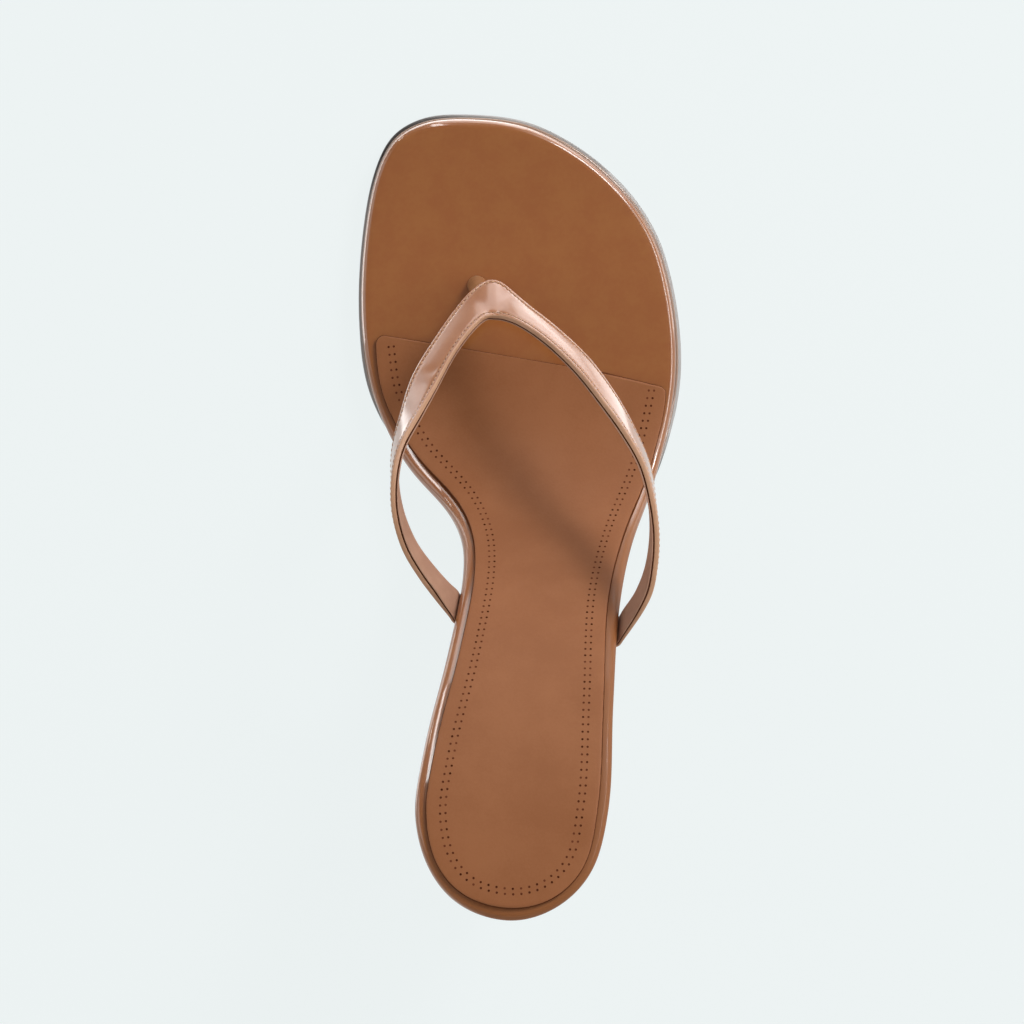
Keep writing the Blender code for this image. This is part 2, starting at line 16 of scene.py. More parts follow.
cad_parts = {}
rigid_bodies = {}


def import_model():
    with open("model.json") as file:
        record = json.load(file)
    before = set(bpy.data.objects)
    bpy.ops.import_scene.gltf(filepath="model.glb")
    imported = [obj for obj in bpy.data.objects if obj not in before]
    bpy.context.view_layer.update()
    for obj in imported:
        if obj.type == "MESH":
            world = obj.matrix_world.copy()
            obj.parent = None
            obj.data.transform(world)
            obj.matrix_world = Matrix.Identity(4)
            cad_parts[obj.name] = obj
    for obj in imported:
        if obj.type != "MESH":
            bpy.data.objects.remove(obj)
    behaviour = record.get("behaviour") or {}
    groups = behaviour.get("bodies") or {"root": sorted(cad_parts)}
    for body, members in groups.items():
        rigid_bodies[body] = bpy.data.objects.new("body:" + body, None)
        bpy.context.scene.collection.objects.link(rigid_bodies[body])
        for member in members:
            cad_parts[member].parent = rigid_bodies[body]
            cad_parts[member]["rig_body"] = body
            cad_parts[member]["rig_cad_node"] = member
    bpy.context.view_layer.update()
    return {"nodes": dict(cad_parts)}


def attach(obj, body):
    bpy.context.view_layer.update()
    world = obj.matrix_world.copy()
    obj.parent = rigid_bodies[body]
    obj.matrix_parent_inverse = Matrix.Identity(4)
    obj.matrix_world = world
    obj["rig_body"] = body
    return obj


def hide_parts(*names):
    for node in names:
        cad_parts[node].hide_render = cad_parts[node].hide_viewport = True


MM = 0.001

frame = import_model()

# Camera: straight above the shoe, toe up
CAMERA_PLACE = (-2.15 * MM, -1.95 * MM, 1330 * MM)
CAMERA_LENS = 165.2

# Paper that the shoe stands on: its own tone, its glow, and its tone in the background
FLOOR_SIZE = 8.0
FLOOR_TONE = (0.05, 0.052, 0.052, 1.0)
FLOOR_GLOW = (0.805, 0.853, 0.853, 1.0)
PAPER_BEHIND = (0.847, 0.896, 0.896, 1.0)

# Brightness of the room at the horizon and from a height upwards
WORLD_LOW = 0.5
WORLD_HIGH = 0.2
WORLD_HIGH_FROM = 0.9

# Soft boxes round the shoe: direction and distance from its middle, size, and brightness
# next to white paper's; some show only in the shoe's gloss
SoftBox = namedtuple("SoftBox", "name direction distance size radiance gloss_only")
SOFT_BOXES = (
    SoftBox("key", (0.5, 0.6, 0.62), 1.3, (0.32, 0.32), 20.0, False),
    SoftBox("right_box", (0.66, 0.36, 0.66), 1.2, (1.3, 0.95), 1.7, False),
    SoftBox("left_box", (-0.85, 0.15, 0.5), 1.2, (0.6, 0.8), 1.3, False),
    SoftBox("seat_strip", (-0.16, 0.75, 0.64), 1.3, (0.12, 0.8), 10.0, True),
    SoftBox("crease_glint", (-0.63, 0.70, 0.34), 1.3, (0.16, 0.2), 12.0, True),
    SoftBox("front_right", (0.46, 0.865, 0.2), 1.3, (0.9, 0.5), 2.2, True),
    SoftBox("right_strip", (0.70, 0.12, 0.70), 1.2, (0.8, 0.14), 14.0, True),
    SoftBox("front_box", (0.068, 0.976, 0.208), 1.3, (0.6, 0.54), 2.9, True),
    SoftBox("back_box", (0.0, -0.9, 0.5), 1.3, (0.9, 0.6), 1.0, False),
)

# Bright patches of the paper beside the shoe, which show only in its gloss
FloorPatch = namedtuple("FloorPatch", "name place size radiance")
FLOOR_PATCHES = (
    FloorPatch("floor_left", (-0.064, 0.0875), (0.028, 0.085), 3.4),
    FloorPatch("floor_left_wide", (-0.225, 0.12), (0.25, 0.36), 2.0),
    FloorPatch("floor_right", (0.064, 0.08), (0.028, 0.06), 2.6),
    FloorPatch("floor_right_near", (0.104, 0.05), (0.052, 0.12), 1.5),
    FloorPatch("floor_front", (0.0, 0.141), (0.12, 0.058), 3.2),
    FloorPatch("floor_front_right", (0.065, 0.40), (0.13, 0.54), 3.5),
)
FLOOR_PATCH_HEIGHT = 2 * MM

# Places along an axis between which a look fades in
# Footbed: where its gloss is dulled and painted shade darkens its colour
DULL_SHADE_LATERAL = (-18 * MM, -8 * MM)
DULL_SHADE_FRONT = (-15 * MM, 8 * MM)
WRAP_GLOSS_LATERAL = (0.0, 30 * MM)
# Sole: where its painted sheen gives way to the dark rubber
SOLE_TOE = (76 * MM, 100 * MM)
SOLE_LATERAL = (-34 * MM, 4 * MM)
SOLE_BALL = (5 * MM, 25 * MM)

# Middle part of a noise, over which the darker tone turns into the lighter one
TONE_SPREAD = (0.35, 0.65)

# Modelling limits
MERGE_DISTANCE = 0.001 * MM
QUAD_ANGLE = math.radians(60)
SHARP_ANGLE = math.radians(50)
SHARP_WEIGHT = 0.9
SMOOTH_LEVELS = 2
SMOOTH_ANGLE = math.radians(35)
CAP_ANGLE = math.radians(65)
FLAT_RING = 0.02 * MM

# Strap section, one half from the crown of the outer layer to the middle of the lining:
# distance in from the edge, and height over the middle between the two layers
HalfPoint = namedtuple("HalfPoint", "inset rise")
STRAP_HALF = (
    HalfPoint(2.60, 1.17),
    HalfPoint(1.70, 1.11),
    HalfPoint(1.12, 0.99),
    HalfPoint(0.72, 1.07),
    HalfPoint(0.36, 1.02),
    HalfPoint(0.12, 0.86),
    HalfPoint(0.02, 0.60),
    HalfPoint(0.00, 0.28),
    HalfPoint(0.01, 0.02),
    HalfPoint(0.05, -0.20),
    HalfPoint(0.40, -0.36),
    HalfPoint(0.40, -0.62),
    HalfPoint(0.10, -0.74),
    HalfPoint(0.12, -0.98),
    HalfPoint(0.50, -1.10),
    HalfPoint(2.40, -1.10),
)
STRAP_CROWN = 1.24
STRAP_BACK = -1.10

# Points of the half section where the edge fold and the groove start
STRAP_FOLD = 4
STRAP_GROOVE = 10

# The strap's materials, in their order on it
OUTER, FOLD, LINING, GROOVE = range(4)

# Half thickness of the strap's solid, and steps along it and round it
STRAP_HALF_THICK = 1.225 * MM
STRAP_CURVE_PIECES = 4
STRAP_STEP = 0.5 * MM
STRAP_PIECES = 2

# Smoothing of the strap's upper and lower edge lines, along most of it and at the apex
EDGE_SOFTNESS = 0.8 * MM
UPPER_APEX_SOFTNESS = 2.6 * MM
LOWER_APEX_SOFTNESS = 1.0 * MM
FACE_APEX_SOFTNESS = 3.0 * MM
APEX_REACH = 9.0 * MM

# Stitches along both edges of the strap
STITCH_INSET = 1.12
STITCH_RISE = 1.02
STITCH_PITCH = 1.55 * MM
STITCH_LENGTH = 1.1 * MM
STITCH_WIDTH = 0.42 * MM
STITCH_TUCK = 11 * MM
NEEDLE_RADIUS = 0.20 * MM

# Soft creases of the strap: place in plan, place across it, depth, length along it, width
# across it, and slant
Crease = namedtuple("Crease", "x y across depth length width slant")
STRAP_CREASES = (
    Crease(-24.6, 35.6, 1.4, 0.42, 1.7, 1.3, 0.5),
    Crease(-26.4, 32.4, -0.6, 0.18, 1.6, 3.0, -0.4),
    Crease(-10.6, 54.6, 0.0, 0.10, 2.4, 4.0, 0.2),
    Crease(-31.6, 20.0, 0.0, 0.08, 2.0, 4.0, 0.3),
)

# Pinholes of the sock: rows in from its edge, pitch and size
PINHOLE_ROWS = (4.0 * MM, 5.45 * MM)
PINHOLE_PITCH = 2.18 * MM
PINHOLE_RADIUS = 0.33 * MM
PINHOLE_CURVE_PIECES = 6
DOT_SIDES = 10
DOT_HEIGHT = 0.03 * MM

# Where the rows end: they leave the rim short of the sock's front, run on straight and
# stop at a margin
PINHOLE_CORNER = 4 * MM
PINHOLE_RUN_ON = 8 * MM
PINHOLE_FRONT_MARGIN = 0.3 * MM

# Front edge of the sock, from corner to corner, and how it bows towards the toe
SOCK_FRONT_MEDIAL = Vector((-40.5, 47.0)) * MM
SOCK_FRONT_LATERAL = Vector((41.2, 32.8)) * MM
SOCK_FRONT_BOW = 1.7 * MM
SOCK_BOW_REACH = 9 * MM
SOCK_BOW_POWER = 0.7

# Heights over the footbed that tell the sock's top, cut edge and underside apart
SOCK_TOP_LIFT = 1.4 * MM
SOCK_TOP_SHARE = 0.92
SOCK_EDGE_LIFT = 1.1 * MM
SOCK_LOW_LIFT = 0.35 * MM

# Sock: its rounded rim, the spacing of its profile, how far its underside settles, and
# its smoothing
SOCK_RIM_INSET = 0.7 * MM
SOCK_PROFILE_GAP = 0.05 * MM
SOCK_SETTLE = 0.27 * MM
SOCK_SHARP_ANGLE = math.radians(75)
SOCK_LEVELS = 3


class Value:
    """A shader value that Python expressions turn into Math nodes."""

    def __init__(self, finish, socket):
        self.finish = finish
        self.socket = socket

    def math(self, operation, *values):
        return self.finish.node("ShaderNodeMath", {"operation": operation}, dict(enumerate(values)))

    def __add__(self, other):
        return self.math("ADD", self, other)

    def __sub__(self, other):
        return self.math("SUBTRACT", self, other)

    def __rsub__(self, other):
        return self.math("SUBTRACT", other, self)

    def __mul__(self, other):
        return self.math("MULTIPLY", self, other)

    def step(self, low, high):
        """0 below low and 1 above high, with a soft rise between them."""
        inputs = {"Value": self, "From Min": low, "From Max": high}
        return self.finish.node("ShaderNodeMapRange", {"interpolation_type": "SMOOTHSTEP"}, inputs)


class Finish:
    """One material, and the nodes that give it its look."""

    def __init__(self, name, **constants):
        self.material = bpy.data.materials.new(name)
        self.material.use_nodes = True
        self.tree = self.material.node_tree
        self.shader = self.tree.nodes["Principled BSDF"]
        self.face = None
        for key, value in constants.items():
            self.shader.inputs[key.replace("_", " ")].default_value = value

    def node(self, kind, settings, inputs, output=0):
        """New node with its settings and inputs; gives one of its outputs."""
        node = self.tree.nodes.new(kind)
        for key, value in settings.items():
            setattr(node, key, value)
        for key, value in inputs.items():
            if isinstance(value, Value):
                self.tree.links.new(value.socket, node.inputs[key])
            else:
                node.inputs[key].default_value = value
        return Value(self, node.outputs[output])

    def place(self):
        """Place in the piece's own coordinates, in metres."""
        return self.node("ShaderNodeTexCoord", {}, {}, "Object")

    def axis(self, letter):
        """Place along one axis, in metres."""
        return self.node("ShaderNodeSeparateXYZ", {}, {0: self.place()}, letter)

    def noise(self, scale, detail, roughness=0.5):
        """Cloudy values round a half; a larger scale gives smaller clouds."""
        inputs = {"Vector": self.place(), "Scale": scale, "Detail": detail, "Roughness": roughness}
        return self.node("ShaderNodeTexNoise", {}, inputs, "Fac")

    def mix(self, factor, first, second):
        """Colour between two colours."""
        inputs = {0: factor, 6: first, 7: second}
        return self.node("ShaderNodeMix", {"data_type": "RGBA"}, inputs, 2)

    def bump(self, height, distance, below=None):
        """Normal of a relief of a given depth, over another relief where one is given."""
        inputs = {"Height": height, "Distance": distance, "Strength": 1.0}
        if below:
            inputs["Normal"] = below
        return self.node("ShaderNodeBump", {}, inputs, "Normal")

    def feed(self, **links):
        """Links values to the shader's inputs."""
        for key, value in links.items():
            self.tree.links.new(value.socket, self.shader.inputs[key.replace("_", " ")])


def colour(red, green, blue):
    """Colour as the shader takes it, from 0 to 255 values as a picture shows them."""
    linear = [((v / 255 + 0.055) / 1.055) ** 2.4 for v in (red, green, blue)]
    return (*linear, 1.0)


def patent_leather(name, light, dark, blur=0.08):
    """Glossy lacquered leather with faint clouds and a slightly uneven surface."""
    finish = Finish(
        name,
        Roughness=0.3,
        Specular_IOR_Level=0.25,
        Coat_Weight=1.0,
        Coat_Roughness=blur,
        Coat_IOR=1.6,
    )
    clouds = finish.noise(120.0, 4.0, 0.6)
    fine = finish.noise(900.0, 3.0)
    tone = (clouds * 0.7 + fine * 0.3).step(*TONE_SPREAD)
    ripple = finish.noise(260.0, 2.0)
    normal = finish.bump(fine, 0.012 * MM, finish.bump(ripple, 0.05 * MM))
    finish.face = finish.mix(tone, dark, light)
    finish.feed(Base_Color=finish.face, Normal=normal)
    return finish


def footbed_patent(light, dark):
    """Patent leather made less glossy round the lateral side of the waist and seat, where painted shade also
    darkens its colour.
    """
    finish = patent_leather("footbed_patent", light, dark)
    lateral = finish.axis("X").step(*DULL_SHADE_LATERAL)
    behind = 1 - finish.axis("Y").step(*DULL_SHADE_FRONT)
    # Lateral waist and seat: gloss dulled, and colour darkened to a deeper brown as painted shade
    dull_and_shade = lateral * behind
    finish.feed(
        Base_Color=finish.mix(dull_and_shade * 0.7, finish.face, colour(140, 86, 46)),
        Coat_Weight=1 - dull_and_shade * 0.9,
        Roughness=dull_and_shade * 0.3 + 0.3,
    )
    return finish.material


def wrap_patent(light, dark):
    """Patent leather whose gloss shows on the lateral side."""
    finish = patent_leather("midsole_wrap", light, dark)
    finish.feed(Coat_Weight=finish.axis("X").step(*WRAP_GLOSS_LATERAL))
    return finish.material


def sock_leather():
    """Satin leather with fine grain."""
    finish = Finish("sock_leather", Roughness=0.5, Specular_IOR_Level=0.12)
    clouds = finish.noise(45.0, 5.0, 0.6)
    grain = finish.noise(1500.0, 4.0, 0.6)
    tone = (clouds * 0.75 + grain * 0.25).step(*TONE_SPREAD)
    face = finish.mix(tone, colour(148, 93, 58), colour(157, 101, 65))
    finish.feed(
        Base_Color=face,
        Normal=finish.bump(grain, 0.03 * MM),
        Roughness=grain * 0.2 + 0.42,
    )
    return finish.material


def plain_leather(name, light, dark, roughness, shine=0.3, patches=90.0):
    """Matt leather or thread with patches of a darker tone."""
    finish = Finish(name, Specular_IOR_Level=shine)
    clouds = finish.noise(patches, 4.0, 0.6)
    grain = finish.noise(1300.0, 4.0, 0.6)
    finish.feed(
        Base_Color=finish.mix(clouds.step(*TONE_SPREAD), dark, light),
        Normal=finish.bump(grain, 0.04 * MM),
        Roughness=grain * 0.2 + roughness - 0.1,
    )
    return finish.material


def sole_rubber(name, tone, pale, roughness):
    """Dark rubber with a paler tone painted round the forefoot's edge as painted sheen, left dark at the
    medial corner of the toe.
    """
    finish = Finish(name, Specular_IOR_Level=0.4)
    clouds = finish.noise(120.0, 4.0)
    grain = finish.noise(2200.0, 3.0)
    # Painted sheen: the paler tone stands for light caught on the forefoot's edge
    corner = finish.axis("Y").step(*SOLE_TOE) * (1 - finish.axis("X").step(*SOLE_LATERAL))
    behind = 1 - finish.axis("Y").step(*SOLE_BALL)
    finish.feed(
        Base_Color=finish.mix(corner + behind - clouds * 0.1, pale, tone),
        Normal=finish.bump(grain, 0.03 * MM),
        Roughness=grain * 0.15 + roughness,
    )
    return finish.material


def only(piece):
    """Leaves one object selected and active, out of edit mode."""
    if bpy.context.mode != "OBJECT":
        bpy.ops.object.mode_set(mode="OBJECT")
    bpy.ops.object.select_all(action="DESELECT")
    piece.select_set(True)
    bpy.context.view_layer.objects.active = piece


def copy_of(node, name):
    """Own copy of a solid, its triangles merged back into quads."""
    only(frame["nodes"][node])
    bpy.ops.object.duplicate()
    piece = bpy.context.active_object
    piece.name = name
    piece.data.name = name
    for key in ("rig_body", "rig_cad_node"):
        del piece[key]
    bpy.ops.object.parent_clear(type="CLEAR_KEEP_TRANSFORM")
    bpy.ops.mesh.customdata_custom_splitnormals_clear()
    bpy.ops.object.mode_set(mode="EDIT")
    bpy.ops.mesh.select_all(action="SELECT")
    bpy.ops.mesh.remove_doubles(threshold=MERGE_DISTANCE)
    bpy.ops.mesh.tris_convert_to_quads(face_threshold=QUAD_ANGLE, shape_threshold=QUAD_ANGLE)
    bpy.ops.object.mode_set(mode="OBJECT")
    piece.data.materials.clear()
    return piece


def crease_sharp(piece, angle):
    """Keeps the piece's sharp edges through a subdivision."""
    only(piece)
    bpy.ops.object.mode_set(mode="EDIT")
    bpy.ops.mesh.select_all(action="DESELECT")
    bpy.ops.mesh.select_mode(type="EDGE")
    bpy.ops.mesh.edges_select_sharp(sharpness=angle)
    bpy.ops.transform.edge_crease(value=SHARP_WEIGHT)
    bpy.ops.object.mode_set(mode="OBJECT")


def subdivide(piece, levels):
    """Rounds a piece by subdivision."""
    only(piece)
    modifier = piece.modifiers.new("subdivision", "SUBSURF")
    modifier.levels = levels
    modifier.render_levels = levels
    bpy.ops.object.modifier_apply(modifier=modifier.name)


def dress(piece, materials, slot, *nodes):
    """Gives a piece its materials and its place in the frame."""
    for material in materials:
        piece.data.materials.append(material)
    only(piece)
    bpy.ops.object.shade_smooth_by_angle(angle=SMOOTH_ANGLE)
    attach(piece, "root")
    if nodes:
        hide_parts(*nodes)


def smooth_copy(node, name, material):
    """A solid's smooth stand-in, with its sharp edges kept."""
    piece = copy_of(node, name)
    crease_sharp(piece, SHARP_ANGLE)
    subdivide(piece, SMOOTH_LEVELS)
    dress(piece, [material], node, node)


def spline(rows, pieces, closed=False):
    """Smooth curve through the rows; the first three columns are the place."""
    if closed:
        rows = np.vstack([rows[-1:], rows, rows[:2]])
    else:
        rows = np.vstack([2 * rows[:1] - rows[1:2], rows, 2 * rows[-1:] - rows[-2:-1]])
    steps = np.diff(rows, axis=0)
    gaps = np.sqrt(np.linalg.norm(steps[:, :3], axis=1, keepdims=True))
    before = steps[:-1] / gaps[:-1] * gaps[1:]
    after = steps[1:] / gaps[1:] * gaps[:-1]
    rates = (before + after) / (gaps[:-1] + gaps[1:])
    gaps = gaps[1:-1]
    curve = []
    for t in np.arange(pieces) / pieces:
        curve.append(
            rows[1:-2] * (2 * t**3 - 3 * t**2 + 1)
            + rows[2:-1] * (3 * t**2 - 2 * t**3)
            + rates[:-1] * gaps * (t**3 - 2 * t**2 + t)
            + rates[1:] * gaps * (t**3 - t**2)
        )
    curve = np.stack(curve, axis=1).reshape(-1, rows.shape[1])
    return curve if closed else np.vstack([curve, rows[-2:-1]])


def along(points):
    """Distance along a line of points."""
    steps = np.linalg.norm(np.diff(points, axis=0), axis=1)
    return np.concatenate([[0.0], np.cumsum(steps)])


def sample(distance, values, wanted):
    """Columns of values at the wanted distances."""
    return np.stack([np.interp(wanted, distance, column) for column in values.T], axis=1)


def unit(vectors):
    """Vectors of the same directions, one long."""
    return vectors / np.linalg.norm(vectors, axis=-1, keepdims=True)


def strap_rings(side):
    """Points of each ring of the strap's solid, from its end on one side to the other end."""
    shape = bmesh.new()
    shape.from_mesh(frame["nodes"]["strap"].data)
    bmesh.ops.remove_doubles(shape, verts=shape.verts, dist=MERGE_DISTANCE)
    ends = {v for e in shape.edges if e.calc_face_angle(0.0) > CAP_ANGLE for v in e.verts}
    ring = {v for v in ends if v.co.x * side > 0 and v.co.y < 0}
    seen = set()
    rings = []
    while ring:
        seen |= ring
        rings.append(np.array([v.co for v in ring]))
        ring = {e.other_vert(v) for v in ring for e in v.link_edges} - seen
    shape.free()
    return rings


def far_half(rings):
    """The flat rings of a walk past the strap's apex, where the walk keeps in step."""
    apex = max(range(len(rings)), key=lambda i: rings[i].mean(axis=0)[1])
    spread = [np.linalg.svd(ring - ring.mean(axis=0))[1][2] for ring in rings]
    return [ring for ring, off in zip(rings[apex:], spread[apex:]) if off < FLAT_RING]


Strap = namedtuple("Strap", "middle section face half_width thick distance")


def softened(distance, values, apex, at_apex):
    """Values smoothed along the strap, more so near its apex."""
    width = EDGE_SOFTNESS + (at_apex - EDGE_SOFTNESS) * np.exp(-(((distance - apex) / APEX_REACH) ** 2))
    weights = np.exp(-0.5 * ((distance[None, :] - distance[:, None]) / width[:, None]) ** 2)
    return weights @ values / weights.sum(axis=1, keepdims=True)


def strap_frames():
    """The strap's middle line, its section and face directions and its size, evenly spaced."""
    rings = far_half(strap_rings(1))[:0:-1] + far_half(strap_rings(-1))
    middles = np.array([ring.mean(axis=0) for ring in rings])
    axes = np.array([np.linalg.svd(ring - ring.mean(axis=0))[2][:2] for ring in rings])
    apex = int(np.argmax(middles[:, 1]))
    axes[apex] *= np.sign(axes[apex][:, 2:3])
    for i in [*range(apex + 1, len(rings)), *range(apex - 1, -1, -1)]:
        near = i - 1 if i > apex else i + 1
        axes[i] *= np.sign(np.sum(axes[i] * axes[near], axis=1, keepdims=True))
    sizes = [np.ptp((ring - middle) @ axis.T, axis=0) / 2 for ring, middle, axis in zip(rings, middles, axes)]
    rows = spline(np.hstack([middles, axes[:, 0], axes[:, 1], sizes]), STRAP_CURVE_PIECES)
    distance = along(rows[:, :3])
    wanted = np.arange(0.0, distance[-1], STRAP_STEP)
    rows = sample(distance, rows, wanted)
    apex = wanted[np.argmax(rows[:, 1])]
    reach = rows[:, 3:6] * rows[:, 9:10]
    upper = softened(wanted, rows[:, :3] + reach, apex, UPPER_APEX_SOFTNESS)
    lower = softened(wanted, rows[:, :3] - reach, apex, LOWER_APEX_SOFTNESS)
    middle = (upper + lower) / 2
    section = unit(upper - lower)
    face = np.cross(section, np.gradient(middle, axis=0))
    face = unit(face * np.sign(np.sum(face * rows[:, 6:9], axis=1, keepdims=True)))
    face = softened(wanted, face, apex, FACE_APEX_SOFTNESS)
    face = unit(face - section * np.sum(face * section, axis=1, keepdims=True))
    half_width = np.linalg.norm(upper - lower, axis=1) / 2
    return Strap(middle, section, face, half_width, rows[:, 10] / STRAP_HALF_THICK, wanted)


def strap_profile():
    """Corners round the strap's section: side, inset from that side's edge, and rise."""
    upper = [(1, point.inset, point.rise) for point in STRAP_HALF]
    lower = [(-1, point.inset, point.rise) for point in STRAP_HALF]
    return np.array([(0, 0.0, STRAP_CROWN), *upper, (0, 0.0, STRAP_BACK), *lower[::-1]])


def pressed(strap, place):
    """How far the creases press the strap's face in, at each step along it."""
    depth = np.zeros((len(strap.distance), len(place)))
    for crease in STRAP_CREASES:
        spot = np.array((crease.x, crease.y)) * MM
        middle = strap.distance[np.argmin(np.linalg.norm(strap.middle[:, :2] - spot, axis=1))]
        past = (strap.distance - middle)[:, None] / MM - crease.slant * place[None, :] / MM
        beside = place[None, :] / MM - crease.across
        depth += crease.depth * MM * np.exp(-((past / crease.length) ** 2) - (beside / crease.width) ** 2)
    return depth


def swept(name, points):
    """Grid wrapped round rows of points, and the column round it of each of its faces."""
    rows, around = points.shape[:2]
    bpy.ops.mesh.primitive_grid_add(x_subdivisions=around, y_subdivisions=rows - 1, size=1.0)
    piece = bpy.context.active_object
    piece.name = name
    flat = np.array([vertex.co for vertex in piece.data.vertices])
    turn = np.rint((flat[:, 0] + 0.5) * around).astype(int) % around
    row = np.rint((flat[:, 1] + 0.5) * (rows - 1)).astype(int)
    centres = np.array([polygon.center for polygon in piece.data.polygons])
    columns = np.floor((centres[:, 0] + 0.5) * around).astype(int)
    piece.data.vertices.foreach_set("co", points[row, turn].astype(np.float32).ravel())
    return piece, columns


def close_tube(piece):
    """Joins the wrapped grid's seam and caps both ends."""
    only(piece)
    bpy.ops.object.mode_set(mode="EDIT")
    bpy.ops.mesh.select_all(action="SELECT")
    bpy.ops.mesh.remove_doubles(threshold=MERGE_DISTANCE)
    bpy.ops.mesh.fill_holes(sides=0)
    bpy.ops.mesh.select_all(action="SELECT")
    bpy.ops.mesh.normals_make_consistent(inside=False)
    bpy.ops.object.mode_set(mode="OBJECT")


def build_strap(strap, materials):
    """Two leather layers with a groove between them, darkened as painted shade, and a trough under each
    stitch row.
    """
    profile = strap_profile()
    across = np.where(
        profile[None, :, 0] == 0,
        0.0,
        profile[None, :, 0] * (strap.half_width[:, None] - profile[None, :, 1] * MM),
    )
    rise = profile[None, :, 2] * MM * strap.thick[:, None]
    outside = np.clip(profile[:, 2] / STRAP_CROWN, 0.0, 1.0)
    rise = rise - pressed(strap, across[len(across) // 2]) * outside
    points = (
        strap.middle[:, None]
        + strap.section[:, None] * across[..., None]
        + strap.face[:, None] * rise[..., None]
    )
    rounded = np.stack([spline(ring, STRAP_PIECES, closed=True) for ring in points])
    piece, columns = swept("strap_leather", rounded)
    first = (1 + STRAP_GROOVE) * STRAP_PIECES
    last = rounded.shape[1] - STRAP_GROOVE * STRAP_PIECES
    layer = np.full(len(columns), OUTER, dtype=np.int32)
    layer[(columns >= (1 + STRAP_FOLD) * STRAP_PIECES) & (columns < first)] = FOLD
    layer[(columns >= first) & (columns < last)] = LINING
    # The groove's faces get a dark matt material: painted shade in the groove between the layers
    layer[np.abs(columns + 0.5 - first - STRAP_PIECES / 2) < STRAP_PIECES] = GROOVE
    piece.data.polygons.foreach_set("material_index", layer)
    close_tube(piece)
    dress(piece, materials, "strap", "strap")


def repeat(bead, name, places):
    """One mesh of copies of a bead, each moved by its own matrix."""
    copies = []
    for place in places:
        item = bead.copy()
        item.data = bead.data.copy()
        item.data.transform(place)
        bpy.context.scene.collection.objects.link(item)
        copies.append(item)
    bpy.data.objects.remove(bead)
    only(copies[0])
    for item in copies:
        item.select_set(True)
    bpy.ops.object.join()
    piece = bpy.context.active_object
    piece.name = name
    piece.data.name = name
    return piece


def turned(run, up, place):
    """Matrix that lays X along run and Z along up, at a place."""
    run = Vector(run).normalized()
    side = Vector(up).cross(run).normalized()
    matrix = Matrix((run, side, run.cross(side))).transposed().to_4x4()
    matrix.translation = Vector(place)
    return matrix


def stitch_places(strap, shift):
    """Places along both stitch rows, shifted by a share of the pitch."""
    places = []
    for side in (1, -1):
        reach = side * (strap.half_width - STITCH_INSET * MM)
        rise = STITCH_RISE * MM * strap.thick - pressed(strap, reach[len(reach) // 2 :][:1])[:, 0]
        line = strap.middle + strap.section * reach[:, None] + strap.face * rise[:, None]
        distance = along(line)
        wanted = np.arange(STITCH_TUCK, distance[-1] - STITCH_TUCK, STITCH_PITCH) + shift * STITCH_PITCH
        spots = sample(distance, line, wanted)
        runs = sample(distance, np.gradient(line, axis=0), wanted)
        ups = sample(distance, strap.face, wanted)
        places += [turned(*values) for values in zip(runs, ups, spots)]
    return places


def build_stitches(strap, thread, hole):
    """Thread along both edges of the strap, with a dark disc between each two stitches as painted shade of a
    needle hole.
    """
    bpy.ops.mesh.primitive_uv_sphere_add(segments=8, ring_count=6, radius=0.5)
    bead = bpy.context.active_object
    bpy.ops.object.mode_set(mode="EDIT")
    bpy.ops.mesh.select_all(action="SELECT")
    bpy.ops.transform.rotate(value=math.pi / 2, orient_axis="Y", center_override=(0, 0, 0))
    bpy.ops.transform.resize(value=(STITCH_LENGTH, STITCH_WIDTH, STITCH_WIDTH))
    bpy.ops.object.mode_set(mode="OBJECT")
    piece = repeat(bead, "strap_stitches", stitch_places(strap, 0.0))
    dress(piece, [thread], "strap")
    build_dots("strap_needle_holes", stitch_places(strap, 0.5), NEEDLE_RADIUS, hole, "strap")


def surface(mesh):
    """Search tree over a mesh's faces."""
    return BVHTree.FromPolygons([v.co for v in mesh.vertices], [p.vertices for p in mesh.polygons])


def lifts(piece):
    """Height of each vertex of a piece over the footbed's solid."""
    ground = surface(frame["nodes"]["footbed"].data)
    return np.array([ground.find_nearest(vertex.co)[3] for vertex in piece.data.vertices])


def sock_rim(piece, high):
    """The sock's top edge, as an ordered loop of points, and the vertices of its top."""
    top = {i for i, lift in enumerate(high) if lift > SOCK_TOP_SHARE * SOCK_TOP_LIFT}
    pairs = [tuple(edge.vertices) for edge in piece.data.edges]
    crossing = [pair for pair in pairs if len(top.intersection(pair)) == 1]
    rim = {index for pair in crossing for index in pair if index in top}
    links = {index: [] for index in rim}
    for a, b in pairs:
        if a in rim and b in rim:
            links[a].append(b)
            links[b].append(a)
    points = piece.data.vertices
    here = max(rim, key=lambda index: points[index].co.y)
    loop = [here]
    while True:
        ahead = [index for index in links[here] if index not in loop]
        if not ahead:
            return np.array([points[index].co for index in loop]), top
        here = min(ahead, key=lambda index: (points[index].co - points[loop[-1]].co).length)
        loop.append(here)


